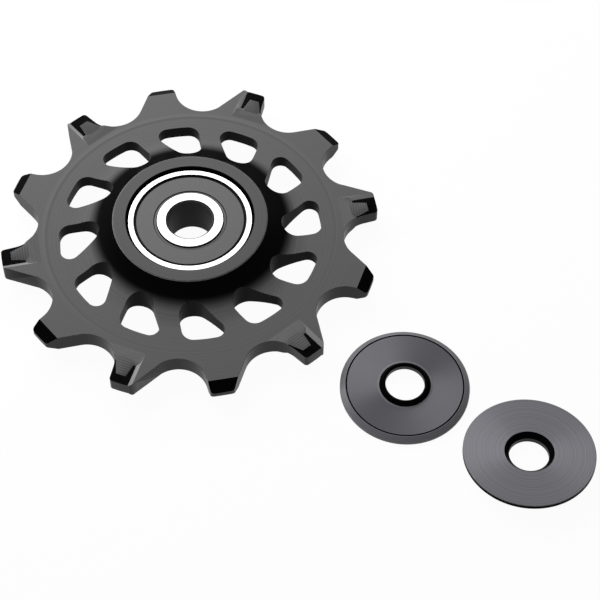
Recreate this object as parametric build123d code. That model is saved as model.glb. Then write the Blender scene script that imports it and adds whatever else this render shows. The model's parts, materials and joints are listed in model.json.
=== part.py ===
from build123d import *
import os
from math import acos, atan2, cos, degrees, radians, sin, sqrt, tan

# Derailleur jockey wheel: a machined toothed wheel on a sealed ball bearing, with its two covers.
# Millimetres. The origin is the middle of the bearing's bore, and +Z is the wheel's axle.
# The wheel lies on its hub, and its two covers lie beside it on the same level.

# Chain and toothed ring
CHAIN_PITCH = 12.7
TEETH = 12
TOOTH_STEP = 360 / TEETH
FIRST_NARROW_TOOTH = 11.1
PITCH_RADIUS = CHAIN_PITCH / 2 / sin(radians(TOOTH_STEP / 2))
SEAT_RADIUS = 3.9
SEAT_LEAD = 12.8
TIP_RADIUS = 25.55
TIP_TRAILING = 3.0
TIP_LEADING = 3.85
TIP_ROUND = 0.5
RING_TOP = 0.7
RING_THICK = 2.6
RING_BOTTOM = RING_TOP - RING_THICK
RING_MIDDLE = RING_TOP - RING_THICK / 2

# Wide teeth: a flat bevel on each face of the tip
BEVEL_START = 24.1
BEVEL_DEPTH = 0.95

# Narrow teeth: a shallow pocket milled into each face beside a ridge, around a sloping tongue
POCKET_START = 20.5
POCKET_STEP = 21.9
POCKET_STEP_DEPTH = 0.06
POCKET_STEP_RUN = 0.5
POCKET_DEPTH = 0.36
POCKET_REACH = 0.5
POCKET_DRAFT = 58.0
POCKET_PLAN_INSIDE = 17.0
POCKET_PLAN_OUTSIDE = 29.0
POCKET_PLAN_WIDTH = 8.0
RIDGE_FOOT = 1.6
RIDGE_END = 1.95
TONGUE_START = 21.0
TONGUE_START_AHEAD = 1.3
TONGUE_START_BEHIND = 2.5
TONGUE_END = 24.5
TONGUE_END_AHEAD = 0.65
TONGUE_END_BEHIND = 1.0
TONGUE_END_DEPTH = 0.15
CUT_OUTSIDE = 26.4
CUT_HALF_WIDTH = 4.0
LIFT = 0.2

# Hub and lightening holes
HUB_RADIUS = 10.27
HUB_HALF_HEIGHT = 3.49
HUB_EDGE = 0.12
SEAT_MOUTH = 0.15
FILLET_START = 16.0
WEB_BOTTOM = -1.25
WEB_RADIUS = 19.2
BLANK_RADIUS = 27.0
HOLE_OUTER_RADIUS = 17.7
HOLE_HEEL_ANGLE = 3.8
HOLE_HEEL_ROUND = 1.6
HOLE_TOE_ANGLE = 13.6
HOLE_TOE_ROUND = 1.25
HOLE_ROOT_PLACE = 14.1
HOLE_ROOT_ANGLE = 3.7
HOLE_ROOT_ROUND = 1.87

# Ball bearing, 6 x 17 x 6
BORE_RADIUS = 3.0
BEARING_RADIUS = 8.5
BEARING_HALF = 3.0
BALLS = 6
BALL_RADIUS = 1.75
BALL_CIRCLE = 5.75
BALL_PLAY = 0.02
GROOVE_RADIUS = 1.82
OUTER_SHOULDER = 6.9
INNER_SHOULDER = 4.6
OUTER_EDGE = 0.17
BORE_EDGE = 0.26
SEAL_OUTER = 7.54
SEAL_INNER = 4.5
SEAL_GAP = 0.05
SEAL_SEAT = 2.35
SEAL_FACE = 2.85
SEAL_LIP_FACE = 2.68
SEAL_LIP_WIDTH = 0.3
SEAL_BEAD = 0.22

# Riveted ribbon cage
CAGE_INNER = 5.05
CAGE_OUTER = 6.45
CAGE_SHEET = 0.26
CAGE_PLAY = 0.06
RIVET_RADIUS = 0.28
RIVET_HEAD_RADIUS = 0.48
RIVET_HEAD = 0.14

# Covers
COVER_RADIUS = 8.45
COVER_LAND = 0.6
COVER_CONE_RADIUS = 7.78
COVER_INNER_FACE = 0.97
COVER_HEIGHT = 1.6
COVER_HOLE = 2.55
COVER_SINK_RADIUS = 3.2
COVER_EDGE = 0.08
COLLAR_FOOT = 3.32
COLLAR_CREST = 2.86
GROOVE_OUTER = 7.72
GROOVE_WIDTH = 0.2
GROOVE_DEPTH = 0.14
COVER_INNER_UP_PLACE = (28.6, -22.1)
COVER_OUTER_UP_PLACE = (44.1, -32.6)
FLOOR = -HUB_HALF_HEIGHT


def polar(radius, angle):
    """Point at a radius and an angle in degrees."""
    return Vector(radius * cos(radians(angle)), radius * sin(radians(angle)))


def tangent_foot(centre, point, turn):
    """Where the line from a point touches the roller seat about a centre."""
    reach = point - centre
    opening = turn * degrees(acos(SEAT_RADIUS / reach.length))
    return centre + reach.normalized().rotate(Axis.Z, opening) * SEAT_RADIUS


def section(points):
    """Face in the XZ plane from radius and height pairs."""
    corners = [(radius, 0, height) for radius, height in points]
    return make_face(Polyline(*corners, close=True))


def turned(points):
    """Solid of revolution about the axle from radius and height pairs."""
    return revolve(section(points), Axis.Z)


def tooth_ring_outline():
    """Roller seats joined by leaning teeth: a steep trailing flank and a long leading ramp."""
    seat_behind = polar(PITCH_RADIUS, -SEAT_LEAD)
    seat_ahead = polar(PITCH_RADIUS, TOOTH_STEP - SEAT_LEAD)
    tip_trailing = polar(TIP_RADIUS, -TIP_TRAILING)
    tip_leading = polar(TIP_RADIUS, TIP_LEADING)
    foot_trailing = tangent_foot(seat_behind, tip_trailing, 1)
    foot_leading = tangent_foot(seat_ahead, tip_leading, -1)
    seat_bottom = polar(PITCH_RADIUS - SEAT_RADIUS, TOOTH_STEP - SEAT_LEAD)
    next_foot = foot_trailing.rotate(Axis.Z, TOOTH_STEP)
    tooth = [
        Line(foot_trailing, tip_trailing),
        ThreePointArc(tip_trailing, Vector(TIP_RADIUS, 0), tip_leading),
        Line(tip_leading, foot_leading),
        ThreePointArc(foot_leading, seat_bottom, next_foot),
    ]
    turns = [Rot(0, 0, FIRST_NARROW_TOOTH + k * TOOTH_STEP) for k in range(TEETH)]
    outline = make_face([turn * edge for turn in turns for edge in tooth])
    tips = [v for v in outline.vertices() if Vector(v).length > TIP_RADIUS - TIP_ROUND]
    return fillet(tips, TIP_ROUND)


def hub_blank():
    """Turned blank: the hub flows into a thin web through hollow fillets, and the ring steps down around the web."""
    edge_radius = HUB_RADIUS + HUB_EDGE
    rise = HUB_HALF_HEIGHT - HUB_EDGE - RING_TOP
    run = FILLET_START - edge_radius
    sweep = (run**2 + rise**2) / (2 * rise)
    drop = HUB_HALF_HEIGHT - HUB_EDGE + WEB_BOTTOM
    lower_start = edge_radius + sqrt(2 * sweep * drop - drop**2)
    mouth = BEARING_RADIUS + SEAT_MOUTH
    seat_end = HUB_HALF_HEIGHT - SEAT_MOUTH

    def fillet_arc(start, height, side):
        """Arc that leaves the hub's edge and runs out flat on the web's face."""
        edge = Vector(edge_radius, 0, side * (HUB_HALF_HEIGHT - HUB_EDGE))
        flat = Vector(start, 0, height)
        centre = Vector(start, 0, height + side * sweep)
        middle = centre + ((edge - centre) + (flat - centre)).normalized() * sweep
        return ThreePointArc(edge, middle, flat)

    upper = fillet_arc(FILLET_START, RING_TOP, 1)
    lower = fillet_arc(lower_start, WEB_BOTTOM, -1)
    outside = Polyline(
        (FILLET_START, 0, RING_TOP),
        (BLANK_RADIUS, 0, RING_TOP),
        (BLANK_RADIUS, 0, RING_BOTTOM),
        (WEB_RADIUS + WEB_BOTTOM - RING_BOTTOM, 0, RING_BOTTOM),
        (WEB_RADIUS, 0, WEB_BOTTOM),
        (lower_start, 0, WEB_BOTTOM),
    )
    inside = Polyline(
        (edge_radius, 0, -HUB_HALF_HEIGHT + HUB_EDGE),
        (HUB_RADIUS, 0, -HUB_HALF_HEIGHT),
        (mouth, 0, -HUB_HALF_HEIGHT),
        (BEARING_RADIUS, 0, -seat_end),
        (BEARING_RADIUS, 0, seat_end),
        (mouth, 0, HUB_HALF_HEIGHT),
        (HUB_RADIUS, 0, HUB_HALF_HEIGHT),
        (edge_radius, 0, HUB_HALF_HEIGHT - HUB_EDGE),
    )
    return revolve(make_face([upper, outside, lower, inside]), Axis.Z)


def lightening_hole():
    """Rounded triangle that swirls out from the hub's fillet, bounded by an arc about the axle."""
    corners = [
        (polar(HOLE_OUTER_RADIUS - HOLE_HEEL_ROUND, HOLE_HEEL_ANGLE), HOLE_HEEL_ROUND),
        (polar(HOLE_OUTER_RADIUS - HOLE_TOE_ROUND, HOLE_TOE_ANGLE), HOLE_TOE_ROUND),
        (polar(HOLE_ROOT_PLACE, HOLE_ROOT_ANGLE), HOLE_ROOT_ROUND),
    ]
    discs = [Pos(place) * Circle(radius) for place, radius in corners]
    heel = polar(HOLE_OUTER_RADIUS, HOLE_HEEL_ANGLE)
    toe = polar(HOLE_OUTER_RADIUS, HOLE_TOE_ANGLE)
    crest = polar(HOLE_OUTER_RADIUS, (HOLE_HEEL_ANGLE + HOLE_TOE_ANGLE) / 2)
    outer_side = make_face([ThreePointArc(heel, crest, toe), Line(toe, heel)])
    opening = make_hull([disc.edge() for disc in discs]) + outer_side
    return extrude(opening, HUB_HALF_HEIGHT, both=True)


def wide_tooth_bevel():
    """Wedge that bevels one face of a wide tooth's tip."""
    slope = BEVEL_DEPTH / (TIP_RADIUS - BEVEL_START)
    deep = RING_TOP - slope * (CUT_OUTSIDE - BEVEL_START)
    above = RING_TOP + LIFT
    side = section([
        (BEVEL_START - LIFT / slope, above),
        (CUT_OUTSIDE, deep),
        (CUT_OUTSIDE, above),
    ])
    return extrude(side, CUT_HALF_WIDTH, both=True)


def narrow_tooth_pocket():
    """Pocket in one face of a narrow tooth, beside a full-height ridge, around a sloping tongue."""
    above = RING_TOP + LIFT
    below = RING_TOP - POCKET_REACH
    lean = LIFT * tan(radians(POCKET_DRAFT))
    floor = extrude(section([
        (POCKET_START, RING_TOP),
        (POCKET_STEP, RING_TOP - POCKET_STEP_DEPTH),
        (POCKET_STEP + POCKET_STEP_RUN, RING_TOP - POCKET_DEPTH),
        (CUT_OUTSIDE, RING_TOP - POCKET_DEPTH),
        (CUT_OUTSIDE, above),
        (POCKET_START, above),
    ]), CUT_HALF_WIDTH, both=True)
    plan = make_face(Polyline(
        (POCKET_PLAN_INSIDE, RIDGE_FOOT + lean),
        (POCKET_PLAN_OUTSIDE, RIDGE_END + lean),
        (POCKET_PLAN_OUTSIDE, -POCKET_PLAN_WIDTH),
        (POCKET_PLAN_INSIDE, -POCKET_PLAN_WIDTH),
        close=True,
    ))
    walls = extrude(Pos(0, 0, above) * plan, below - above, taper=POCKET_DRAFT)
    base = make_face(Polyline(
        (TONGUE_START, -TONGUE_START_BEHIND),
        (TONGUE_END, -TONGUE_END_BEHIND),
        (TONGUE_END, TONGUE_END_AHEAD),
        (TONGUE_START, TONGUE_START_AHEAD),
        close=True,
    ))
    tongue = extrude(Pos(0, 0, below) * base, POCKET_REACH, taper=POCKET_DRAFT)
    crown = extrude(section([
        (POCKET_START, RING_TOP),
        (POCKET_STEP, RING_TOP - POCKET_STEP_DEPTH),
        (TONGUE_END, RING_TOP - TONGUE_END_DEPTH),
        (TONGUE_END, below),
        (POCKET_START, below),
    ]), CUT_HALF_WIDTH, both=True)
    return (floor & walls) - (tongue & crown)


def toothed_wheel():
    """Wheel with alternating narrow and wide teeth, both faces of them cut alike."""
    middle = Plane.XY.offset(RING_MIDDLE)
    outline = Pos(0, 0, -HUB_HALF_HEIGHT) * tooth_ring_outline()
    wheel = hub_blank() & extrude(outline, 2 * HUB_HALF_HEIGHT)
    hole = lightening_hole()
    cutters = [narrow_tooth_pocket(), wide_tooth_bevel()]
    for k in range(TEETH):
        cutter = cutters[k % 2]
        turn = Rot(0, 0, FIRST_NARROW_TOOTH + k * TOOTH_STEP)
        wheel -= [turn * cutter, turn * mirror(cutter, about=middle)]
        wheel -= Rot(0, 0, k * TOOTH_STEP) * hole
    return wheel


def ring_groove(track_radius):
    """Torus of a raceway whose centre circle has the given radius."""
    return revolve(Plane.XZ * Pos(track_radius, 0) * Circle(GROOVE_RADIUS), Axis.Z)


def outer_ring():
    """Outer ring with its raceway and a rebate at each face for a seal."""
    edge = BEARING_HALF - OUTER_EDGE
    ring = turned([
        (BEARING_RADIUS, -edge),
        (BEARING_RADIUS, edge),
        (BEARING_RADIUS - OUTER_EDGE, BEARING_HALF),
        (SEAL_OUTER, BEARING_HALF),
        (SEAL_OUTER, SEAL_SEAT),
        (OUTER_SHOULDER, SEAL_SEAT),
        (OUTER_SHOULDER, -SEAL_SEAT),
        (SEAL_OUTER, -SEAL_SEAT),
        (SEAL_OUTER, -BEARING_HALF),
        (BEARING_RADIUS - OUTER_EDGE, -BEARING_HALF),
    ])
    return ring - ring_groove(BALL_CIRCLE + BALL_RADIUS + BALL_PLAY - GROOVE_RADIUS)


def inner_ring():
    """Inner ring with its raceway, a chamfered bore and a step at each face for a seal's lip."""
    edge = BEARING_HALF - BORE_EDGE
    step = SEAL_INNER - SEAL_GAP
    ring = turned([
        (BORE_RADIUS, -edge),
        (BORE_RADIUS, edge),
        (BORE_RADIUS + BORE_EDGE, BEARING_HALF),
        (step, BEARING_HALF),
        (step, SEAL_SEAT - SEAL_GAP),
        (INNER_SHOULDER, SEAL_SEAT - SEAL_GAP),
        (INNER_SHOULDER, -SEAL_SEAT + SEAL_GAP),
        (step, -SEAL_SEAT + SEAL_GAP),
        (step, -BEARING_HALF),
        (BORE_RADIUS + BORE_EDGE, -BEARING_HALF),
    ])
    return ring - ring_groove(BALL_CIRCLE - BALL_RADIUS - BALL_PLAY + GROOVE_RADIUS)


def seal():
    """Rubber seal of the upper face: a bead in the outer ring, a flat web and a stepped lip."""
    bead = SEAL_OUTER - SEAL_BEAD
    lip = SEAL_INNER + SEAL_LIP_WIDTH
    return turned([
        (SEAL_OUTER, SEAL_SEAT),
        (SEAL_OUTER, SEAL_LIP_FACE),
        (bead, SEAL_LIP_FACE),
        (bead, SEAL_FACE),
        (lip, SEAL_FACE),
        (lip, SEAL_LIP_FACE),
        (SEAL_INNER, SEAL_LIP_FACE),
        (SEAL_INNER, SEAL_SEAT),
    ])


def ball_angle(k):
    """Angle of one ball about the axle."""
    return 360 / BALLS * k


def radial_bar(radius):
    """Round bar along +X through the ball circle, longer than the cage is wide."""
    return Pos(BALL_CIRCLE, 0) * Rot(0, 90, 0) * Cylinder(radius, 2 * BALL_RADIUS)


def cage_half():
    """Upper half of the cage: a flat ribbon that domes over each ball and is pierced for rivets."""
    pocket = BALL_RADIUS + CAGE_PLAY
    band = Cylinder(CAGE_OUTER, 2 * BEARING_HALF) - Cylinder(CAGE_INNER, 2 * BEARING_HALF)
    upper = Pos(0, 0, BEARING_HALF / 2) * Cylinder(CAGE_OUTER, BEARING_HALF)
    ribbon = Pos(0, 0, CAGE_SHEET / 2) * Cylinder(CAGE_OUTER, CAGE_SHEET)
    domes = [Rot(0, 0, ball_angle(k)) * radial_bar(pocket + CAGE_SHEET) for k in range(BALLS)]
    hollows = [Rot(0, 0, ball_angle(k)) * radial_bar(pocket) for k in range(BALLS)]
    pierced = [rivet_place(k) * Cylinder(RIVET_RADIUS, BEARING_HALF) for k in range(BALLS)]
    return ((ribbon + domes) & band & upper) - hollows - pierced


def rivet_place(k):
    """Place of one rivet, midway between two balls."""
    return Rot(0, 0, ball_angle(k + 0.5)) * Pos(BALL_CIRCLE, 0)


def cage_rivet():
    """Rivet with a flat head on each side of the two ribbons."""
    grip = CAGE_SHEET
    return turned([
        (0, -grip - RIVET_HEAD),
        (RIVET_HEAD_RADIUS, -grip - RIVET_HEAD),
        (RIVET_HEAD_RADIUS, -grip),
        (RIVET_RADIUS, -grip),
        (RIVET_RADIUS, grip),
        (RIVET_HEAD_RADIUS, grip),
        (RIVET_HEAD_RADIUS, grip + RIVET_HEAD),
        (0, grip + RIVET_HEAD),
    ])


def cover():
    """Turned cover with its outer face at z = 0 and its centring collar pointing up."""
    sink_depth = COVER_SINK_RADIUS - COVER_HOLE
    groove_inner = GROOVE_OUTER - GROOVE_WIDTH
    groove_middle = GROOVE_OUTER - GROOVE_WIDTH / 2
    collar_rim = COVER_HEIGHT - (COLLAR_CREST - COVER_HOLE)
    return turned([
        (COVER_SINK_RADIUS, 0),
        (COVER_RADIUS - COVER_EDGE, 0),
        (COVER_RADIUS, COVER_EDGE),
        (COVER_RADIUS, COVER_LAND),
        (COVER_CONE_RADIUS, COVER_INNER_FACE),
        (GROOVE_OUTER, COVER_INNER_FACE),
        (groove_middle, COVER_INNER_FACE - GROOVE_DEPTH),
        (groove_inner, COVER_INNER_FACE),
        (COLLAR_FOOT, COVER_INNER_FACE),
        (COLLAR_CREST, COVER_HEIGHT),
        (COVER_HOLE, collar_rim),
        (COVER_HOLE, sink_depth),
    ])


def tipped_place():
    """Place of the cover that rests on its collar: it tips back until its cone also touches the floor."""
    tip = degrees(atan2(COVER_HEIGHT - COVER_INNER_FACE, COVER_CONE_RADIUS - COLLAR_CREST))
    lift = COLLAR_CREST * sin(radians(tip))
    return Pos(*COVER_OUTER_UP_PLACE, FLOOR + lift) * Rot(-tip, 0, 0)


def all_parts():
    """Every sub-part in its place, by name."""
    upper_cage = cage_half()
    upper_seal = seal()
    flip = Rot(180, 0, 0)
    turned_cover = cover()
    parts = {
        "toothed_wheel": toothed_wheel(),
        "outer_ring": outer_ring(),
        "inner_ring": inner_ring(),
        "seal_upper": upper_seal,
        "seal_lower": flip * upper_seal,
        "cage_upper": upper_cage,
        "cage_lower": flip * upper_cage,
        "cover_inner_side_up": Pos(*COVER_INNER_UP_PLACE, FLOOR) * turned_cover,
        "cover_outer_side_up": tipped_place() * Pos(0, 0, COVER_HEIGHT) * flip * turned_cover,
    }
    for k in range(BALLS):
        parts[f"ball_{k + 1}"] = Rot(0, 0, ball_angle(k)) * Pos(BALL_CIRCLE, 0) * Sphere(BALL_RADIUS)
        parts[f"cage_rivet_{k + 1}"] = rivet_place(k) * cage_rivet()
    return parts


os.makedirs("parts", exist_ok=True)
for name, shape in all_parts().items():
    export_step(shape, f"parts/{name}.step")
    print(name, round(shape.volume, 2))
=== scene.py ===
# %% [markdown]
# # A derailleur jockey wheel
# The real part is a small chain wheel, machined from one piece of aluminium and anodised black, that turns
# on a sealed ball bearing. Two thin turned covers, which keep dirt off the bearing, lie beside it.
# The imported solids give every size and place, so they are loaded first and nothing here moves or resizes
# them.

# %% Load the imported solids
import json
import bmesh
import bpy
import numpy as np
from mathutils import Matrix, Vector


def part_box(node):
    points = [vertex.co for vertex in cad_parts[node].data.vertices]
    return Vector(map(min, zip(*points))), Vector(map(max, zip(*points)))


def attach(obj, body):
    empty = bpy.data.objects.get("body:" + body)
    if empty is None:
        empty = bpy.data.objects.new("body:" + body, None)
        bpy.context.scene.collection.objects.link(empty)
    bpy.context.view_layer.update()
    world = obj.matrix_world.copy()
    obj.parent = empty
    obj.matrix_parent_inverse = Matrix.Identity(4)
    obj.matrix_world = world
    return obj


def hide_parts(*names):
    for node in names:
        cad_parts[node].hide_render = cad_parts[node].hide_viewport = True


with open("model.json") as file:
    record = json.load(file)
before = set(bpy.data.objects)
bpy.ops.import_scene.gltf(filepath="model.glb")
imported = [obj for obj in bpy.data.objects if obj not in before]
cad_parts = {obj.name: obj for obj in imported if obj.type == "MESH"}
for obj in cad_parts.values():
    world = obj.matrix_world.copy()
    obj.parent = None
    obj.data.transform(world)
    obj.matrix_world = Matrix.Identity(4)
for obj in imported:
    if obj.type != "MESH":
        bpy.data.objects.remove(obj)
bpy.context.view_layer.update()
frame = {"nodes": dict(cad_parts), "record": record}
nodes = frame["nodes"]

# %% [markdown]
# ## Camera
# The photograph looks down on the wheel from the front through a long lens, very slightly tipped.
# A camera could be placed by eye, but the ellipses of the bearing and the ring of tooth roots give its
# height, distance and lens, so those are written here and the camera's axes are worked out from two angles.

# %% Camera at the photograph's angle
MM = 0.001
IMAGE_PIXELS = 600
LENS_PIXELS = 1950
SENSOR = 36.0
ELEVATION = np.radians(55.97)
ROLL = np.radians(0.70)
AIM = Vector((14.84, -12.79, 3.0)) * MM
DISTANCE = 253.7 * MM
CLIP_START = 0.01


def camera_axes(elevation, roll):
    """Right, up and back: back rises at the elevation, and right and up turn about it by the roll."""
    back = Vector((0, -np.cos(elevation), np.sin(elevation)))
    level = Vector((1, 0, 0))
    steep = back.cross(level)
    right = level * np.cos(roll) + steep * np.sin(roll)
    return right, back.cross(right), back


axes = camera_axes(ELEVATION, ROLL)
camera_data = bpy.data.cameras.new("photo_camera")
camera_data.sensor_width = SENSOR
camera_data.lens = SENSOR * LENS_PIXELS / IMAGE_PIXELS
camera_data.clip_start = CLIP_START
camera = bpy.data.objects.new("photo_camera", camera_data)
bpy.context.scene.collection.objects.link(camera)
camera.matrix_world = Matrix.Translation(AIM + axes[2] * DISTANCE) @ Matrix(axes).transposed().to_4x4()
bpy.context.scene.camera = camera
bpy.context.scene.view_settings.view_transform = "Standard"
print("camera lens", round(camera_data.lens, 2), "place", [round(v, 4) for v in camera.location])

# %% [markdown]
# ## Turned pieces
# The bearing rings, the seals and the covers are round pieces. A lathe or a mould leaves a small round on
# each edge, and that round is what catches the light. A Bevel modifier on the solids' triangles would be
# uneven, so each piece is drawn again as a profile with an arc at every corner, carried around its axle.
# Sizes are in millimetres from here on, and MM makes them metres.

# %% Profile with rounded corners
ARC_POINTS = 7


def unit(vectors):
    """Vectors divided by their own lengths."""
    return vectors / np.linalg.norm(vectors, axis=-1, keepdims=True)


def rounded_profile(corners):
    """Points and outward normals of a radius-height profile, taken anticlockwise, whose corners are arcs.

    An arc's centre lies on the corner's bisector, at its round divided by the sine of half the corner's
    angle. Its spokes turn evenly from the foot on one side to the foot on the other. Spokes point out of
    the solid at a corner that sticks out, and into it at a hollow one: the turn from side to side tells.
    """
    corner = np.array(corners, float)
    place, radius = corner[:, :2], corner[:, 2:]
    to_last = unit(np.roll(place, 1, axis=0) - place)
    to_next = unit(np.roll(place, -1, axis=0) - place)
    half = np.arccos((to_last * to_next).sum(axis=1, keepdims=True)) / 2
    centre = place + unit(to_last + to_next) * radius / np.sin(half)
    first = place + to_last * radius / np.tan(half) - centre
    final = place + to_next * radius / np.tan(half) - centre
    step = np.linspace(0, 1, ARC_POINTS)[None, :, None]
    turn = (np.pi - 2 * half)[:, None]
    spoke = (first[:, None] * np.sin((1 - step) * turn) + final[:, None] * np.sin(step * turn)) / np.sin(turn)
    bend = to_last[:, 1] * to_next[:, 0] - to_last[:, 0] * to_next[:, 1]
    normals = unit(spoke) * np.sign(bend)[:, None, None]
    return (centre[:, None] + spoke).reshape(-1, 2), normals.reshape(-1, 2)


unit_square = [(0, 0, 0.1), (1, 0, 0.1), (1, 1, 0.1), (0, 1, 0.1)]
print("a square with rounded corners has", len(rounded_profile(unit_square)[0]), "points")

# %% [markdown]
# ## One profile carried around an axle
# A turned piece is its profile swept around an axle. A Screw modifier could do that, but here the whole grid
# of angles and profile points is worked out at once, so each face's finish and normals are known as well.

# %% Turned mesh and piece
TURN_STEPS = 224


def new_piece(name, mesh, body, slot, *stands_for):
    """Object at the origin that rides on a body and may stand for solids."""
    piece = bpy.data.objects.new(name, mesh)
    bpy.context.scene.collection.objects.link(piece)
    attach(piece, body)
    if stands_for:
        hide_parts(*stands_for)
    return piece


def turned_mesh(name, corners, axis=(0, 0, 1), foot=(0, 0, 0)):
    """Grid of angle by profile: a point's radius goes round the axle and its height runs along it.

    A corner gives a radius, a height, a round and the finish that its arc and the side after it take.
    The axle points along the axis and its height 0 is at the foot. The UV map runs around the axle and
    along the profile.
    """
    points, normals = rounded_profile([corner[:3] for corner in corners])
    count = len(points)
    angle = np.linspace(0, 2 * np.pi, TURN_STEPS, endpoint=False)[:, None]
    turn = np.array(Vector((0, 0, 1)).rotation_difference(Vector(axis)).to_matrix())

    def carried(flat):
        """Radius and height pairs carried to every angle, then turned with the axle."""
        height = np.broadcast_to(flat[:, 1], (TURN_STEPS, count))
        upright = np.stack([flat[:, 0] * np.cos(angle), flat[:, 0] * np.sin(angle), height], axis=-1)
        return upright.reshape(-1, 3) @ turn.T

    j, i = np.meshgrid(np.arange(TURN_STEPS), np.arange(count), indexing="ij")
    row, next_row = j * count, (j + 1) % TURN_STEPS * count
    next_i = (i + 1) % count
    faces = np.stack([row + i, next_row + i, next_row + next_i, row + next_i], axis=-1)
    mesh = bpy.data.meshes.new(name)
    mesh.from_pydata((carried(points) * MM + np.array(foot)).tolist(), [], faces.reshape(-1, 4).tolist())
    around = np.stack([j, j + 1, j + 1, j], axis=-1) / TURN_STEPS
    along = np.stack([i, i, i + 1, i + 1], axis=-1) / count
    uv = mesh.uv_layers.new(name="turning")
    uv.data.foreach_set("uv", np.stack([around, along], axis=-1).astype(np.float32).ravel())
    finish = np.array([corner[3] for corner in corners])
    mesh.polygons.foreach_set("material_index", finish[i // ARC_POINTS].astype(np.int32).ravel())
    mesh.shade_smooth()
    mesh.normals_split_custom_set_from_vertices(carried(normals).tolist())
    print(name, len(mesh.vertices), "points,", len(set(finish.tolist())), "finishes")
    return mesh


# %% [markdown]
# ## Bearing rings and seals
# The bearing is a common sealed size. Its ground steel rings stand a little proud of the rubber seals, and
# each seal has a narrow bead sunk in the outer ring and a stepped lip that runs close to the inner ring.
# The outer sizes come from the solids, and the steps between them are drawn as corners of a profile.

# %% Sizes of the bearing
BEARING_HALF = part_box("outer_ring")[1][2] / MM
BEARING_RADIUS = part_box("outer_ring")[1][0] / MM
SEAL_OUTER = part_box("seal_upper")[1][0] / MM
SEAL_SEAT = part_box("seal_upper")[0][2] / MM
SEAL_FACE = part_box("seal_upper")[1][2] / MM
# Rounds on the corners of turned pieces, from the tightest to the fullest
TIGHT, CRISP, FINE, SOFT, GROUND, FULL = 0.02, 0.03, 0.04, 0.05, 0.06, 0.07
print("bearing", BEARING_RADIUS, BEARING_HALF, "seal", SEAL_OUTER, SEAL_SEAT, SEAL_FACE)

# %% Ground rings
BORE = 3.0
RING_EDGE = 0.23
BORE_EDGE = 0.26
OUTER_SHOULDER = 6.9
INNER_FACE = 4.45
INNER_SHOULDER = 4.6
SHOULDER_HALF = 2.3
BRIGHT, SHADED, GAP_SHADE = range(3)

# The ring's outside and its chamfers take the deep black: a painted shade of the narrow gap between ring and
# hub.
outer_ring_corners = [
    (BEARING_RADIUS - RING_EDGE, -BEARING_HALF, SOFT, GAP_SHADE),
    (BEARING_RADIUS, RING_EDGE - BEARING_HALF, SOFT, GAP_SHADE),
    (BEARING_RADIUS, BEARING_HALF - RING_EDGE, SOFT, GAP_SHADE),
    (BEARING_RADIUS - RING_EDGE, BEARING_HALF, SOFT, BRIGHT),
    (SEAL_OUTER, BEARING_HALF, GROUND, SHADED),
    (SEAL_OUTER, SEAL_SEAT, CRISP, SHADED),
    (OUTER_SHOULDER, SEAL_SEAT, CRISP, BRIGHT),
    (OUTER_SHOULDER, -SEAL_SEAT, CRISP, SHADED),
    (SEAL_OUTER, -SEAL_SEAT, CRISP, SHADED),
    (SEAL_OUTER, -BEARING_HALF, GROUND, BRIGHT),
]
inner_ring_corners = [
    (BORE + BORE_EDGE, -BEARING_HALF, SOFT, BRIGHT),
    (INNER_FACE, -BEARING_HALF, GROUND, BRIGHT),
    (INNER_FACE, -SHOULDER_HALF, CRISP, BRIGHT),
    (INNER_SHOULDER, -SHOULDER_HALF, CRISP, BRIGHT),
    (INNER_SHOULDER, SHOULDER_HALF, CRISP, BRIGHT),
    (INNER_FACE, SHOULDER_HALF, CRISP, BRIGHT),
    (INNER_FACE, BEARING_HALF, GROUND, BRIGHT),
    (BORE + BORE_EDGE, BEARING_HALF, SOFT, SHADED),
    (BORE, BEARING_HALF - BORE_EDGE, SOFT, SHADED),
    (BORE, BORE_EDGE - BEARING_HALF, SOFT, SHADED),
]
outer_ring = new_piece("ground_outer_ring", turned_mesh("ground_outer_ring", outer_ring_corners),
                       "wheel", "bearing_steel", "outer_ring")
inner_ring = new_piece("ground_inner_ring", turned_mesh("ground_inner_ring", inner_ring_corners),
                       "axle_side", "bearing_steel", "inner_ring")

# %% Moulded seals
SEAL_INNER = 4.5
BEAD_TOP = 2.68
BEAD_EDGE = 7.24
FACE_EDGE = 7.2
LIP_EDGE = 4.9
LIP_FOOT = 4.82
LIP_TOP = 2.74
# The second finish marks the creases beside bead and lip, painted near black as shade.
RUBBER, CREASE_SHADE = range(2)

seal_corners = [
    (SEAL_OUTER, SEAL_SEAT, TIGHT, RUBBER),
    (SEAL_OUTER, BEAD_TOP, SOFT, CREASE_SHADE),
    (BEAD_EDGE, BEAD_TOP, FINE, CREASE_SHADE),
    (FACE_EDGE, SEAL_FACE, FULL, RUBBER),
    (LIP_EDGE, SEAL_FACE, SOFT, CREASE_SHADE),
    (LIP_FOOT, LIP_TOP, CRISP, RUBBER),
    (SEAL_INNER, LIP_TOP, GROUND, CREASE_SHADE),
    (SEAL_INNER, SEAL_SEAT, TIGHT, CREASE_SHADE),
]
upper_seal = new_piece("moulded_seal_upper", turned_mesh("moulded_seal_upper", seal_corners),
                       "wheel", "seal_rubber", "seal_upper")
lower_seal = new_piece("moulded_seal_lower", turned_mesh("moulded_seal_lower", seal_corners, (0, 0, -1)),
                       "wheel", "seal_rubber", "seal_lower")

# %% [markdown]
# ## Covers
# Each cover is turned from bar: a flat outer face, a conical rim, a thin groove in the inner face and a low
# collar around the bolt hole that centres it on the bearing. One lies on its outer face. The other leans on
# its collar and the edge of its cone, so the same profile is used twice, once about a tipped axle.

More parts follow.
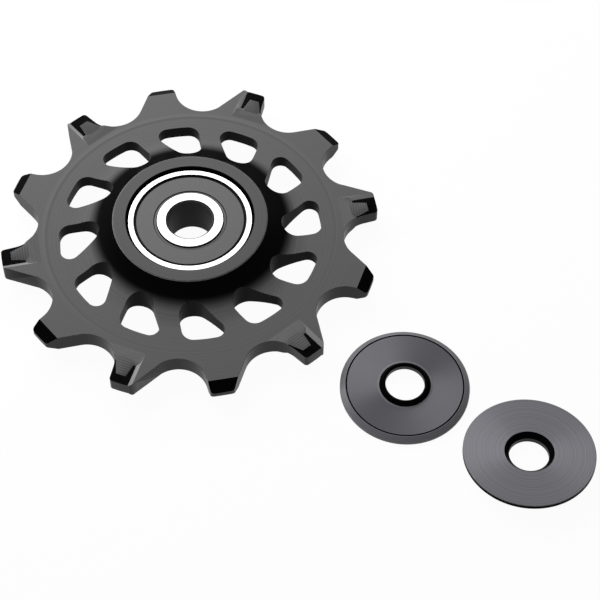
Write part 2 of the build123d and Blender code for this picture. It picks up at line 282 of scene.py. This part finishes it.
# %% Profile of a cover
COVER_RADIUS = 8.45
COVER_HEIGHT = 1.6
COVER_FACE = 0.97
COVER_HOLE = 2.55
SINK_RADIUS = 3.2
RIM_BREAK = 0.08
LAND_TOP = 0.53
CONE_START = (8.38, 0.64)
CONE_END = 7.78
GROOVE = (7.72, 7.62, 7.52)
GROOVE_DEPTH = 0.14
COLLAR_FOOT = 3.6
COLLAR_FOOT_ROUND = 0.2
COLLAR_SIDE = 3.35
COLLAR_SIDE_RISE = 0.03
COLLAR_TOP = 2.86
HOLE_TOP = 1.29
HOLE_FOOT = 0.65
# The groove and the collar take the coat's deep black, darkened there as painted shade. On one cover the
# collar's foot is painted paler as a highlight; on the other the land and cone are painted black as shade.
TURNED, CUT_BLACK_AND_SHADE, LAND, CONE, HOLE_WALL, RIM_LINE_HIGHLIGHT, FOOT = range(7)

# Corners with the rim-line finish give a paler line along the rim's edges and beside the groove: a painted
# highlight.
cover_corners = [
    (SINK_RADIUS, 0, SOFT, TURNED),
    (COVER_RADIUS - RIM_BREAK, 0, FINE, RIM_LINE_HIGHLIGHT),
    (COVER_RADIUS, RIM_BREAK, FINE, LAND),
    (COVER_RADIUS, LAND_TOP, FINE, RIM_LINE_HIGHLIGHT),
    (*CONE_START, FINE, CONE),
    (CONE_END, COVER_FACE, CRISP, RIM_LINE_HIGHLIGHT),
    (GROOVE[0], COVER_FACE, TIGHT, CUT_BLACK_AND_SHADE),
    (GROOVE[1], COVER_FACE - GROOVE_DEPTH, TIGHT, CUT_BLACK_AND_SHADE),
    (GROOVE[2], COVER_FACE, TIGHT, TURNED),
    (COLLAR_FOOT, COVER_FACE, COLLAR_FOOT_ROUND, FOOT),
    (COLLAR_SIDE, COVER_FACE + COLLAR_SIDE_RISE, CRISP, CUT_BLACK_AND_SHADE),
    (COLLAR_TOP, COVER_HEIGHT, RIM_BREAK, CUT_BLACK_AND_SHADE),
    (COVER_HOLE, HOLE_TOP, SOFT, HOLE_WALL),
    (COVER_HOLE, HOLE_FOOT, SOFT, CUT_BLACK_AND_SHADE),
]
print("cover", 2 * COVER_RADIUS, "mm across,", COVER_HEIGHT, "mm high")

# %% Cover pieces
mounts = {mount["name"]: mount for mount in frame["record"]["mounts"]}


def cover_piece(node, mount, side):
    """Cover about its own bolt hole, with its collar up (side 1) or down (side -1), and its axle."""
    axis = Vector(mounts[mount]["axis"]) * side
    foot = Vector(mounts[mount]["pos_m"]) - axis * (HOLE_TOP + HOLE_FOOT) / 2 * MM
    mesh = turned_mesh("turned_" + node, cover_corners, axis, foot)
    return new_piece("turned_" + node, mesh, "axle_side", "cover_aluminium", node), (foot, axis)


inner_up_cover, inner_up_axle = cover_piece("cover_inner_side_up", "inner_up_cover_hole", 1)
outer_up_cover, outer_up_axle = cover_piece("cover_outer_side_up", "outer_up_cover_hole", -1)

# %% [markdown]
# ## Toothed wheel
# The wheel's solid already has the right shape, but its corners are knife edges. A machinist breaks the
# edges, so a copy of the mesh has its loose triangles joined and its flat regions made large faces again.
# Planes through the axle and the holes cut those regions into simple pieces first, since one face can't
# hold a hole. A narrow Bevel can then break the edges evenly.

# %% Joined copy of the wheel
SHARP = np.radians(22)
FLAT = np.radians(0.4)
TOUCHING = 1e-7
TEETH = 12
SPLIT_ANGLE = 0.6


def joined_copy(node):
    """Mesh copy of a solid, its touching corners merged and flat neighbours dissolved between cuts."""
    shape = bmesh.new()
    shape.from_mesh(nodes[node].data)
    bmesh.ops.remove_doubles(shape, verts=shape.verts, dist=TOUCHING)
    for turn in np.radians(SPLIT_ANGLE + np.arange(TEETH // 2) * 360 / TEETH):
        everything = shape.verts[:] + shape.edges[:] + shape.faces[:]
        across = (-np.sin(turn), np.cos(turn), 0)
        split = bmesh.ops.bisect_plane(shape, geom=everything, dist=TOUCHING, plane_co=(0, 0, 0),
                                       plane_no=across)
        for edge in [item for item in split["geom_cut"] if isinstance(item, bmesh.types.BMEdge)]:
            edge.seam = True
    bmesh.ops.dissolve_limit(shape, angle_limit=FLAT, verts=shape.verts, edges=shape.edges,
                             delimit={"SEAM"})
    mesh = bpy.data.meshes.new("machined_" + node)
    shape.to_mesh(mesh)
    shape.free()
    mesh.shade_smooth()
    mesh.set_sharp_from_angle(angle=SHARP)
    return mesh


def total_area(mesh):
    """Area of all faces in square millimetres."""
    return round(sum(face.area for face in mesh.polygons) / MM**2, 2)


wheel_mesh = joined_copy("toothed_wheel")
solid_mesh = nodes["toothed_wheel"].data
print("wheel faces", len(solid_mesh.polygons), "to", len(wheel_mesh.polygons))
print("wheel area", total_area(solid_mesh), "to", total_area(wheel_mesh))

# %% [markdown]
# ## Where the wheel is grey and where it is black
# The wheel is anodised black all over. Flat faces were skimmed on the lathe and are a paler, duller grey,
# partly the coat's own tone and partly a painted sheen for the light that they mirror. The hub's hollow
# flank, the bevels of the wide teeth, the pockets of the narrow teeth and the walls of the holes are smooth
# and deep black, darkened by painted shade where they turn away from the light.
# Faces could be picked by hand, but the difference follows the cuts, so each face's finish is worked out
# from its slope, its radius and its depth.

# %% Faces as arrays
FIRST_NARROW_TOOTH = 11.1
NARROW_PITCH = 2 * 360 / TEETH
NARROW_HALF = NARROW_PITCH / 2


def face_array(mesh, field, width, kind=float):
    """One field of every face as an array of rows."""
    values = np.empty(len(mesh.polygons) * width, kind)
    mesh.polygons.foreach_get(field, values)
    return values.reshape(-1, width)


def narrow_tooth_angles(place):
    """Turn about the axle in degrees, and that turn folded to the nearest narrow tooth."""
    turn = np.degrees(np.arctan2(place[:, 1], place[:, 0]))
    return turn, (turn - FIRST_NARROW_TOOTH + NARROW_HALF) % NARROW_PITCH - NARROW_HALF


print("narrow teeth every", NARROW_PITCH, "degrees from", FIRST_NARROW_TOOTH)

# %% Finish of each face
RING_TOP = 0.7
RING_MIDDLE = -0.6
FACE_DEPTH = 0.1
WEB_RADIUS = 19.2
WALL_RADIUS = 19.5
HOLE_START, HOLE_END = 11, 19
HUB_RADIUS = 10.27
HUB_RISE = 2
RIM_INSIDE, RIM_OUTSIDE, RIM_CLEAR = 0.05, 0.1, 0.2
FILLET_END = 16
POCKET_RADIUS = 21
POCKET_ANGLE = 15
RAMP_END = 22.6
RIDGE_SIDE = 0.9
FLANK_SIDE = 1.0
CROWN_TOP, CROWN_FOOT = 0.05, 0.25
LEVEL_FLAT, LEVEL_WALL, LEANING = 0.97, 0.3, 0.3
SKIMMED_SHEEN, BLACK_AND_SHADE, WALL, EDGE, TONGUE, RIDGE, HOLE, HUB_RIM_HIGHLIGHT = range(8)


def face_finish(mesh):
    """Finish of each face, found in the frame of the nearest narrow tooth: along, across and down into it."""
    middle = face_array(mesh, "center", 3) / MM
    normal = face_array(mesh, "normal", 3)
    turn, offset = narrow_tooth_angles(middle)
    axis = np.radians(turn - offset)
    out = np.stack([np.cos(axis), np.sin(axis)], axis=-1)
    side = np.stack([-np.sin(axis), np.cos(axis)], axis=-1)
    along, across = (middle[:, :2] * out).sum(axis=1), (middle[:, :2] * side).sum(axis=1)
    lean_out, lean_side = (normal[:, :2] * out).sum(axis=1), (normal[:, :2] * side).sum(axis=1)
    reach = np.hypot(middle[:, 0], middle[:, 1])
    depth = RING_TOP - RING_MIDDLE - np.abs(middle[:, 2] - RING_MIDDLE)
    level = np.abs(normal[:, 2])
    flat, upright = level >= LEVEL_FLAT, level <= LEVEL_WALL
    sloped = ~flat & ~upright
    pocket = (np.abs(offset) < POCKET_ANGLE) & (reach > POCKET_RADIUS)
    ridge = pocket & sloped & (across > RIDGE_SIDE) & (lean_side < -LEANING)
    crown = pocket & flat & (depth > CROWN_TOP) & (depth < CROWN_FOOT)
    ramp = pocket & sloped & (lean_out > LEANING) & (along < RAMP_END)
    flank = pocket & sloped & (across < FLANK_SIDE) & ~ramp & ~ridge
    fillet = sloped & (reach > HUB_RADIUS + RIM_CLEAR) & (reach < FILLET_END)
    near_rim = (reach > HUB_RADIUS - RIM_INSIDE) & (reach < HUB_RADIUS + RIM_OUTSIDE)
    # Faces on the hub's rim get a paler grey: worn coat and a painted highlight.
    rim = sloped & near_rim & (depth < -HUB_RISE)
    # Sloped faces take the deep black, with painted shade, and level faces take the grey, with a painted
    # sheen.
    finish = np.full(len(level), BLACK_AND_SHADE)
    finish[(flat & ((depth < FACE_DEPTH) | (reach < WEB_RADIUS))) | fillet | ramp] = SKIMMED_SHEEN
    finish[upright & (reach > WALL_RADIUS)] = WALL
    finish[upright & (reach > HOLE_START) & (reach < HOLE_END)] = HOLE
    finish[ridge] = RIDGE
    finish[rim] = HUB_RIM_HIGHLIGHT
    finish[crown | flank] = TONGUE
    return finish


finish = face_finish(wheel_mesh)
wheel_mesh.polygons.foreach_set("material_index", finish.astype(np.int32))
print("faces of each finish", np.bincount(finish))

# %% [markdown]
# ## Broken edges
# The edges of the teeth and of the hub's rim are broken, as by a file or a brush, and the coat is thin there;
# the hub's rim is also painted paler as a highlight.
# Bevelling every sharp edge would also round the crisp lines where two cuts meet, so a weight on each edge
# picks those that were broken.

# %% Edges that were broken
EDGE_BREAK = 0.07 * MM
RIDGE_ANGLE = 10
RIDGE_START = 21.5


def edge_middles(mesh):
    """Middle of every edge in millimetres."""
    ends = np.empty(len(mesh.edges) * 2, int)
    mesh.edges.foreach_get("vertices", ends)
    place = np.empty(len(mesh.vertices) * 3)
    mesh.vertices.foreach_get("co", place)
    return place.reshape(-1, 3)[ends.reshape(-1, 2)].mean(axis=1) / MM


def broken_edges(mesh, finish):
    """1 for each sharp edge between the toothed wall and a flat face, and on the hub's rim.

    0 stays on the holes, on the crisp lines where a cutter left two slopes and on the thin ridges of the
    narrow teeth. An edge is sharp where the sum of its faces' normals is short.
    """
    count = face_array(mesh, "loop_total", 1, int)[:, 0]
    normal = face_array(mesh, "normal", 3)
    level = np.abs(normal[:, 2])
    face = np.repeat(np.arange(len(count)), count)
    edge = np.empty(len(face), int)
    mesh.loops.foreach_get("edge_index", edge)

    def beside(chosen):
        """Edges with at least one of the chosen faces beside them."""
        return np.bincount(edge, chosen[face], len(mesh.edges)) > 0

    both = np.stack([np.bincount(edge, normal[face, k], len(mesh.edges)) for k in range(3)], axis=-1)
    sharp = np.linalg.norm(both, axis=1) < 2 * np.cos(SHARP / 2)
    middle = edge_middles(mesh)
    reach = np.hypot(middle[:, 0], middle[:, 1])
    ridge = (np.abs(narrow_tooth_angles(middle)[1]) < RIDGE_ANGLE) & (reach > RIDGE_START)
    wall = beside(level < LEVEL_WALL) & beside(level > LEVEL_FLAT) & (reach > WEB_RADIUS) & ~ridge
    return (sharp & (wall | beside(finish == HUB_RIM_HIGHLIGHT))).astype(np.float32)


weight = broken_edges(wheel_mesh, finish)
wheel_mesh.attributes.new("bevel_weight_edge", "FLOAT", "EDGE").data.foreach_set("value", weight)
wheel = new_piece("machined_wheel", wheel_mesh, "wheel", "anodised", "toothed_wheel")
edges = wheel.modifiers.new("broken_edges", "BEVEL")
edges.width = EDGE_BREAK
edges.segments = 2
edges.limit_method = "WEIGHT"
edges.use_clamp_overlap = False
edges.harden_normals = True
edges.material = EDGE
print("broken edges", int(weight.sum()), "of", len(weight))

# %% [markdown]
# ## Materials
# Every finish of the object is a Principled shader with a pattern worked out from Object coordinates.
# Building each by hand would repeat the same lines, so small helpers make a node, fill its sockets and link
# them, and each finish below reads as a short recipe.

# %% Node and colour helpers
def finish_material(name):
    """Empty material with its node tree and shader."""
    material = bpy.data.materials.new(name)
    material.use_nodes = True
    return material, material.node_tree, material.node_tree.nodes["Principled BSDF"]


def fill(tree, node, sockets):
    """Sets a node's sockets by name or number, and links those that are given another node's socket."""
    for key, value in sockets.items():
        if isinstance(value, bpy.types.NodeSocket):
            tree.links.new(value, node.inputs[key])
        else:
            node.inputs[key].default_value = value


def add(tree, kind, sockets, **settings):
    """New node of a kind with its settings and sockets."""
    node = tree.nodes.new("ShaderNode" + kind)
    for key, value in settings.items():
        setattr(node, key, value)
    fill(tree, node, sockets)
    return node


def maths(tree, operation, *values):
    """Result of a Math node."""
    return add(tree, "Math", dict(enumerate(values)), operation=operation).outputs[0]


def grey(level, blue):
    """Opaque colour with red and green at one level and blue at its own."""
    return (level, level, blue, 1)


def blend(tree, amount, first, second):
    """Colour that goes from the first to the second with the amount."""
    node = add(tree, "Mix", {"Factor": amount, "A": first, "B": second}, data_type="RGBA")
    return node.outputs["Result"]


def scaled(tree, colour, tone):
    """Colour times a tone."""
    return add(tree, "VectorMath", {0: colour, "Scale": tone}, operation="SCALE").outputs[0]


DEEP_BLACK = grey(0.0012, 0.0013)
print("deepest black of the coat", DEEP_BLACK)

# %% [markdown]
# ## Tool marks and grain
# A lathe leaves rings about the axle, and bare or moulded surfaces have an even speck. Pictures of them would
# repeat and show seams, so each is noise along a measure: the distance from an axle for rings, and the place
# itself for grain.

# %% Patterns
NOISE_LOW, NOISE_HIGH = 0.3, 0.7
QUARTER_TURN = 0.25


def axle_radius(tree, foot=(0, 0, 0), axis=(0, 0, 1)):
    """Distance from an axle in metres, from Object coordinates, and the direction around it."""
    coordinates = add(tree, "TexCoord", {}).outputs["Object"]
    from_foot = add(tree, "VectorMath", {0: coordinates, 1: foot}, operation="SUBTRACT").outputs[0]
    around = add(tree, "VectorMath", {0: axis, 1: from_foot}, operation="CROSS_PRODUCT").outputs[0]
    return add(tree, "VectorMath", {0: around}, operation="LENGTH").outputs["Value"], around


def turning_marks(tree, radius, lines_per_mm, detail=3.0):
    """Noise along the radius alone, so that it makes rings about the axle."""
    along = maths(tree, "MULTIPLY", radius, lines_per_mm / MM)
    sockets = {"W": along, "Scale": 1.0, "Detail": detail}
    return add(tree, "TexNoise", sockets, noise_dimensions="1D").outputs[0]


def grain(tree, size_mm, detail=3.0):
    """Fine even noise at a given size."""
    coordinates = add(tree, "TexCoord", {}).outputs["Object"]
    noise = add(tree, "TexNoise", {"Vector": coordinates, "Scale": 1 / (size_mm * MM), "Detail": detail})
    return noise.outputs[0]


def spread(tree, value, low, high):
    """The middle range of a noise spread over a range."""
    node = add(tree, "MapRange", {0: value, 1: NOISE_LOW, 2: NOISE_HIGH, 3: low, 4: high})
    return node.outputs[0]


def bump(tree, shader, height, depth_mm, strength=1.0):
    """Bump of a real depth on the shader, on top of any that it has."""
    node = add(tree, "Bump", {"Height": height, "Distance": depth_mm * MM, "Strength": strength})
    for link in shader.inputs["Normal"].links:
        tree.links.new(link.from_socket, node.inputs["Normal"])
    tree.links.new(node.outputs[0], shader.inputs["Normal"])


def brushed(tree, shader, around, amount):
    """Stretches the shader's highlights across tool marks that run around an axle."""
    tangent = add(tree, "VectorTransform", {0: around}, vector_type="VECTOR", convert_from="OBJECT",
                  convert_to="WORLD").outputs[0]
    fill(tree, shader, {"Tangent": tangent, "Anisotropic": amount, "Anisotropic Rotation": QUARTER_TURN})


print("noise from", NOISE_LOW, "to", NOISE_HIGH, "is spread over each range")

# %% [markdown]
# ## Marks on the narrow teeth
# The faces of the narrow teeth are paler on one side of the wheel and darker on the other, as if the marks
# that the cutter left on them lean towards the axle. Such marks are far too fine to model, so a bump that
# rises outwards turns the shading as they would.

# %% Lean of the cutter's marks
RAMP_START = 20.4
RAMP_MIDDLE = -1.65
RAMP_HALF = 3.38


def cutter_lean(tree, degrees):
    """Height in millimetres that rises outwards from the ramp's start, beside a narrow tooth's ridge.

    The angle about the axle, folded to one narrow tooth, gives the place along that tooth and across it.
    """
    place = add(tree, "SeparateXYZ", {0: add(tree, "TexCoord", {}).outputs["Object"]}).outputs
    first = np.radians(NARROW_HALF - FIRST_NARROW_TOOTH)
    turn = maths(tree, "ADD", maths(tree, "ARCTAN2", place[1], place[0]), first)
    folded = maths(tree, "FLOORED_MODULO", turn, np.radians(NARROW_PITCH))
    offset = maths(tree, "SUBTRACT", folded, np.radians(NARROW_HALF))
    radius = maths(tree, "DIVIDE", axle_radius(tree)[0], MM)
    along = maths(tree, "MULTIPLY", radius, maths(tree, "COSINE", offset))
    across = maths(tree, "MULTIPLY", radius, maths(tree, "SINE", offset))
    run = maths(tree, "MAXIMUM", maths(tree, "SUBTRACT", along, RAMP_START), 0.0)
    from_middle = maths(tree, "ABSOLUTE", maths(tree, "SUBTRACT", across, RAMP_MIDDLE))
    beside_ridge = maths(tree, "LESS_THAN", from_middle, RAMP_HALF)
    return maths(tree, "MULTIPLY", maths(tree, "MULTIPLY", run, beside_ridge), np.tan(np.radians(degrees)))


print("marks lean from", RAMP_START, "mm outwards, over", 2 * RAMP_HALF, "mm across each narrow tooth")

# %% Milled tongue of the narrow teeth
MILL_STEP = 0.36
HALF_STEP = 0.5
STEP_DEPTH = 0.02
TONGUE_LEAN = 25

tongue, tree, shader = finish_material("milled_tongue")
steps = maths(tree, "PINGPONG", maths(tree, "DIVIDE", axle_radius(tree)[0], MILL_STEP * MM), HALF_STEP)
full_steps = maths(tree, "MULTIPLY", steps, 1 / HALF_STEP)
colour = blend(tree, full_steps, grey(0.066, 0.068), grey(0.11, 0.113))
fill(tree, shader, {"Base Color": colour, "Roughness": 0.42, "Specular IOR Level": 0.012})
bump(tree, shader, steps, STEP_DEPTH, strength=0.5)
bump(tree, shader, cutter_lean(tree, TONGUE_LEAN), depth_mm=1.0)
print("tongue", len(tree.nodes), "nodes")

# %% [markdown]
# ## Skimmed faces
# Flat faces take a grey that is partly the coat's own tone and partly a painted sheen. On the hollow fillet
# the grey fades to black with the distance from a point just off the axle, reaching further on one side: a
# painted shade of the fillet turning away from the light. A low line is left on the ring where two cuts of
# the lathe met, and beside it the grey is painted darker inside and paler outside, a painted shade and
# highlight of that low step. Painting these on the mesh would follow its triangles, so the shader measures
# them.

# %% Skimmed faces of the wheel
# Grey of the level faces: the coat's own tone with a painted sheen.
SKIMMED_SHEEN_GREY = grey(0.11, 0.112)
SHADE_FADE_CENTRE = Vector((0.22, 0.61, 0)) * MM
FADE_START, FADE_END = 12.5 * MM, 14.5 * MM
HUB_END = (HUB_RADIUS + RIM_OUTSIDE) * MM
HUB_TONE = 0.9
LINE_RADIUS = 19.65 * MM
LINE_HALF = 0.55 * MM
LINE_HEIGHT = 0.03
LINE_SHADE_CONTRAST = 0.33
SKIM_LINES = 5
SKIM_DEPTH = 0.004
RAMP_LEAN = 20

skimmed_sheen, tree, shader = finish_material("skimmed_anodised_sheen")
radius = axle_radius(tree)[0]
# Painted shade: the fillet fades to black about a point just off the axle, so one side stays darker.
fade = {0: axle_radius(tree, SHADE_FADE_CENTRE)[0], 1: FADE_START, 2: FADE_END}
fillet_shade_fade = add(tree, "MapRange", fade, interpolation_type="SMOOTHSTEP").outputs[0]
hub_grey = maths(tree, "MULTIPLY", maths(tree, "LESS_THAN", radius, HUB_END), HUB_TONE)
colour = blend(tree, maths(tree, "MAXIMUM", fillet_shade_fade, hub_grey), DEEP_BLACK, SKIMMED_SHEEN_GREY)
from_line = maths(tree, "DIVIDE", maths(tree, "SUBTRACT", radius, LINE_RADIUS), LINE_HALF)
swell = {0: maths(tree, "ABSOLUTE", from_line), 1: 0.0, 2: 1.0, 3: 1.0, 4: 0.0}
lathe_line = add(tree, "MapRange", swell, interpolation_type="SMOOTHSTEP").outputs[0]
# Painted shade and highlight of the lathe line: the grey is darker inside it and paler outside it.
step_shade_and_highlight = maths(tree, "MULTIPLY", maths(tree, "MULTIPLY", lathe_line, from_line), LINE_SHADE_CONTRAST)
marks = turning_marks(tree, radius, SKIM_LINES)
tinted = scaled(tree, colour, maths(tree, "ADD", spread(tree, marks, 0.92, 1.08), step_shade_and_highlight))
roughness = spread(tree, marks, 0.36, 0.46)
fill(tree, shader, {"Base Color": tinted, "Roughness": roughness, "Specular IOR Level": 0.012})
bump(tree, shader, marks, SKIM_DEPTH, strength=0.4)
bump(tree, shader, lathe_line, LINE_HEIGHT)
bump(tree, shader, cutter_lean(tree, RAMP_LEAN), depth_mm=1.0)
print("skimmed_sheen", len(tree.nodes), "nodes")

# %% [markdown]
# ## Cuts, walls and edges
# The black coat is deepest in the smooth cuts and thinnest on the edges, where the metal shows through. One
# black for all of them would lose the tooth's shape, so each cut has a grey of its own with a fine grain:
# partly the coat's tone, partly painted shade and sheen for the way the light falls on that cut.

# %% Plain cuts of the wheel
def grained(name, size_mm, dark, pale, rough, full=False, **sockets):
    """Material that goes from dark to pale with a grain of one size, to its full contrast where asked."""
    material, tree, shader = finish_material(name)
    amount = grain(tree, size_mm)
    if full:
        amount = spread(tree, amount, 0, 1)
    fill(tree, shader, {"Base Color": blend(tree, amount, dark, pale), "Roughness": rough, **sockets})
    return material


def coated(name, size_mm, dark, pale, rough, gloss, full=False, **sockets):
    """Grained material whose coat mirrors as strongly as its gloss says."""
    return grained(name, size_mm, dark, pale, rough, full, **{"Specular IOR Level": gloss}, **sockets)


def give(pieces, *materials):
    """Puts materials on pieces, in the order of their finishes, and prints their names."""
    for piece in pieces:
        for material in materials:
            piece.data.materials.append(material)
        print(piece.name, "wears", ", ".join(material.name for material in materials))


# Deep black of the coat, also used as painted shade: on sloped faces of the wheel, in the bearing's gap and
# on the shaded rim of one cover.
black_coat_and_shade = coated("black_coat_and_shade", 0.8, DEEP_BLACK, grey(0.0022, 0.0023), rough=0.34, gloss=0.006)
tooth_wall = coated("milled_wall", 0.6, grey(0.022, 0.023), grey(0.034, 0.035), rough=0.36, gloss=0.15)
hole_side = coated("milled_hole", 0.6, grey(0.004, 0.0042), grey(0.008, 0.0083), rough=0.4, gloss=0.03)
ridge_side = coated("milled_ridge", 0.4, grey(0.075, 0.077), grey(0.095, 0.097), rough=0.55, gloss=0.5,
                    full=True, IOR=1.8)
worn_edge = coated("worn_edge", 0.5, grey(0.06, 0.062), grey(0.1, 0.103), rough=0.4, gloss=0.15, full=True)
# The hub's rim is paler than the flats: worn coat and a painted highlight along the rim.
hub_rim_wear_and_highlight = coated("worn_hub_rim_and_highlight", 0.5, grey(0.13, 0.133), grey(0.18, 0.183), rough=0.4, gloss=0.2, full=True)
give([wheel], skimmed_sheen, black_coat_and_shade, tooth_wall, worn_edge, tongue, ridge_side, hole_side, hub_rim_wear_and_highlight)

# %% [markdown]
# ## Bearing steel
# The rings are ground on their faces and bore, which leaves very fine bright rings. In the seats of the seals
# and in the bore, little light reaches the steel. A mirror there would sparkle in single points, so those
# sides are a dull dark grey instead, a painted shade.

# %% Ground bearing steel
GRIND_LINES = 12
GRIND_DEPTH = 0.002

ground_steel, tree, shader = finish_material("ground_steel")
marks = turning_marks(tree, axle_radius(tree)[0], GRIND_LINES)
colour = blend(tree, marks, grey(0.3, 0.305), grey(0.38, 0.38))
fill(tree, shader, {"Base Color": colour, "Roughness": spread(tree, marks, 0.16, 0.26), "Metallic": 1.0})
bump(tree, shader, marks, GRIND_DEPTH, strength=0.3)
shaded_dull_steel = coated("shaded_dull_steel", 0.4, grey(0.03, 0.031), grey(0.042, 0.043), rough=0.5, gloss=0.1)
give([outer_ring, inner_ring], ground_steel, shaded_dull_steel, black_coat_and_shade)

# %% [markdown]
# ## Seal rubber
# The seals are moulded, so they have the mould's even speck and no direction. A picture of rubber would
# repeat, so the speck is noise in the shader. The creases beside bead and lip are painted almost black, a
# painted shade in the creases.

# %% Moulded seal rubber
SPECK = 0.12
SPECK_DEPTH = 0.015

seal_rubber, tree, shader = finish_material("moulded_rubber")
speck = grain(tree, SPECK)
colour = blend(tree, spread(tree, speck, 0, 1), grey(0.08, 0.082), grey(0.107, 0.109))
fill(tree, shader, {"Base Color": colour, "Roughness": 0.6, "Specular IOR Level": 0.25})
bump(tree, shader, speck, SPECK_DEPTH, strength=0.6)
seal_crease_shade = coated("seal_crease_shade", SPECK, grey(0.006, 0.006), grey(0.01, 0.01), rough=0.7, gloss=0.05)
give([upper_seal, lower_seal], seal_rubber, seal_crease_shade)

# %% [markdown]
# ## Cover aluminium
# The covers were turned and then anodised, and the tool's rings stretch each highlight into two bright fans.
# Rings modelled one by one would be thousands of faces, so the shader's anisotropy follows the direction
# around each cover's own axle.

# %% Turned cover aluminium
COAT_TINT = (0.93, 0.92, 1.0, 1)
COVER_MARK_DEPTH = 0.006
FAN = 0.85


def cover_finish(name, axle, base, gloss, lines_per_mm, contrast):
    """Black anodised aluminium with rings from the tool about the cover's own axle."""
    material, tree, shader = finish_material(name)
    radius, around = axle_radius(tree, *axle)
    marks = turning_marks(tree, radius, lines_per_mm)
    tinted = scaled(tree, base, spread(tree, marks, 1 - contrast, 1 + contrast))
    fill(tree, shader, {"Base Color": tinted, "Roughness": spread(tree, marks, 0.34, 0.44),
                        "Specular IOR Level": gloss, "Specular Tint": COAT_TINT})
    brushed(tree, shader, around, FAN)
    bump(tree, shader, marks, COVER_MARK_DEPTH, strength=0.5)
    return material


# Painted highlight: a paler line along the rim's edges and just outside the groove.
cover_rim_highlight = coated("cover_rim_highlight", 0.5, (0.17, 0.171, 0.178, 1), (0.21, 0.211, 0.218, 1), rough=0.4,
                    gloss=0.25)
hole_wall = coated("cover_hole_wall", 0.5, grey(0.02, 0.021), grey(0.03, 0.032), rough=0.4, gloss=0.2)
inner_side = cover_finish("turned_inner_side", inner_up_axle, (0.012, 0.012, 0.016), gloss=0.8,
                          lines_per_mm=9, contrast=0.05)
inner_rim = cover_finish("turned_inner_rim", inner_up_axle, (0.12, 0.119, 0.129), gloss=0.4,
                         lines_per_mm=9, contrast=0.05)
outer_side = cover_finish("turned_outer_side", outer_up_axle, (0.143, 0.141, 0.158), gloss=0.5,
                          lines_per_mm=6, contrast=0.2)
# The collar's foot of this cover takes the paler rim grey: a painted highlight.
give([inner_up_cover], inner_side, black_coat_and_shade, inner_rim, inner_rim, hole_wall, cover_rim_highlight, inner_rim)
# The land, the cone and the collar's foot of this cover take the deep black: a painted shade, as the same
# pieces are grey on the other cover.
give([outer_up_cover], outer_side, black_coat_and_shade, black_coat_and_shade, black_coat_and_shade, hole_wall, cover_rim_highlight,
     black_coat_and_shade)

# %% [markdown]
# ## Hidden steel
# The cage, its rivets and the balls are closed in by the seals. They could be drawn again with finer rounds,
# but no side shows them, so the solids stay as they are and only get a steel each: dull pressed sheet for the
# cage and rivets, and a polish for the balls.

# %% Steel inside the bearing
hidden = {
    "cage_steel": grained("pressed_steel", 0.3, grey(0.55, 0.55), grey(0.68, 0.68), rough=0.35, Metallic=1.0),
    "ball_steel": grained("polished_steel", 1.0, grey(0.78, 0.8), grey(0.84, 0.85), rough=0.06, Metallic=1.0),
}
for entry in frame["record"]["subparts"]:
    if entry["material_slot"] in hidden:
        nodes[entry["node"]].data.materials.clear()
        give([nodes[entry["node"]]], hidden[entry["material_slot"]])

# %% [markdown]
# ## Floor
# The wheel lies on a white surface. More light would make a floor white but wash out the object, so the
# floor looks white to the camera and in reflections, and a small part of its colour takes the shadow.

# %% White floor
# The floor lies where the flat cover does, and reaches out in metres
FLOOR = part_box("cover_inner_side_up")[0][2]
FLOOR_HALF = 2.0
WHITE = (1, 1, 1, 1)
WHITE_SHARE = 0.96


def seen_directly(tree):
    """1 for camera, glossy and transmission rays, 0 for the light that spreads between surfaces."""
    path = add(tree, "LightPath", {})
    straight = maths(tree, "MAXIMUM", path.outputs["Is Camera Ray"], path.outputs["Is Glossy Ray"])
    return maths(tree, "MAXIMUM", straight, path.outputs["Is Transmission Ray"])


corner_sign = np.array([(-1, -1, 0), (1, -1, 0), (1, 1, 0), (-1, 1, 0)])
floor_mesh = bpy.data.meshes.new("white_floor")
floor_mesh.from_pydata((corner_sign * FLOOR_HALF + np.array([0, 0, FLOOR])).tolist(), [], [(0, 1, 2, 3)])
floor = bpy.data.objects.new("white_floor", floor_mesh)
bpy.context.scene.collection.objects.link(floor)
floor_white, tree, shader = finish_material("floor_white")
fill(tree, shader, {"Base Color": (0.85, 0.85, 0.85, 1), "Roughness": 0.9})
glow = add(tree, "Emission", {"Color": WHITE, "Strength": 1.0}).outputs[0]
amount = maths(tree, "MULTIPLY", seen_directly(tree), WHITE_SHARE)
mixed = add(tree, "MixShader", {0: amount, 1: shader.outputs[0], 2: glow}).outputs[0]
tree.links.new(mixed, tree.nodes["Material Output"].inputs["Surface"])
give([floor], floor_white)

# %% [markdown]
# ## Light
# One large softbox stands behind the wheel, to the left, and the flat faces mirror it as an even grey.
# A white room would light the object from all sides and flatten it, so the world is white only where it is
# seen or mirrored, and gives a weak fill elsewhere.

# %% Softbox and surroundings
# The softbox is placed in metres
SOFTBOX_SIZE = (0.2, 0.12)
SOFTBOX_AWAY = 0.135
SOFTBOX_RISE = np.radians(45)
SOFTBOX_SIDE = np.radians(122)
SOFTBOX_WATTS = 0.36
FILL_LIGHT = 0.15

light = bpy.data.lights.new("softbox", "AREA")
light.shape = "RECTANGLE"
light.size, light.size_y = SOFTBOX_SIZE
light.energy = SOFTBOX_WATTS
softbox = bpy.data.objects.new("softbox", light)
softbox.visible_camera = False
bpy.context.scene.collection.objects.link(softbox)
level = np.cos(SOFTBOX_RISE)
toward = Vector((level * np.cos(SOFTBOX_SIDE), level * np.sin(SOFTBOX_SIDE), np.sin(SOFTBOX_RISE)))
softbox.location = toward * SOFTBOX_AWAY
softbox.rotation_euler = toward.to_track_quat("Z", "Y").to_euler()

world = bpy.data.worlds.new("studio")
bpy.context.scene.world = world
world.use_nodes = True
tree = world.node_tree
strength = add(tree, "MapRange", {0: seen_directly(tree), 3: FILL_LIGHT, 4: 1.0}).outputs[0]
fill(tree, tree.nodes["Background"], {"Color": WHITE, "Strength": strength})
print("softbox", SOFTBOX_WATTS, "W, fill", FILL_LIGHT)
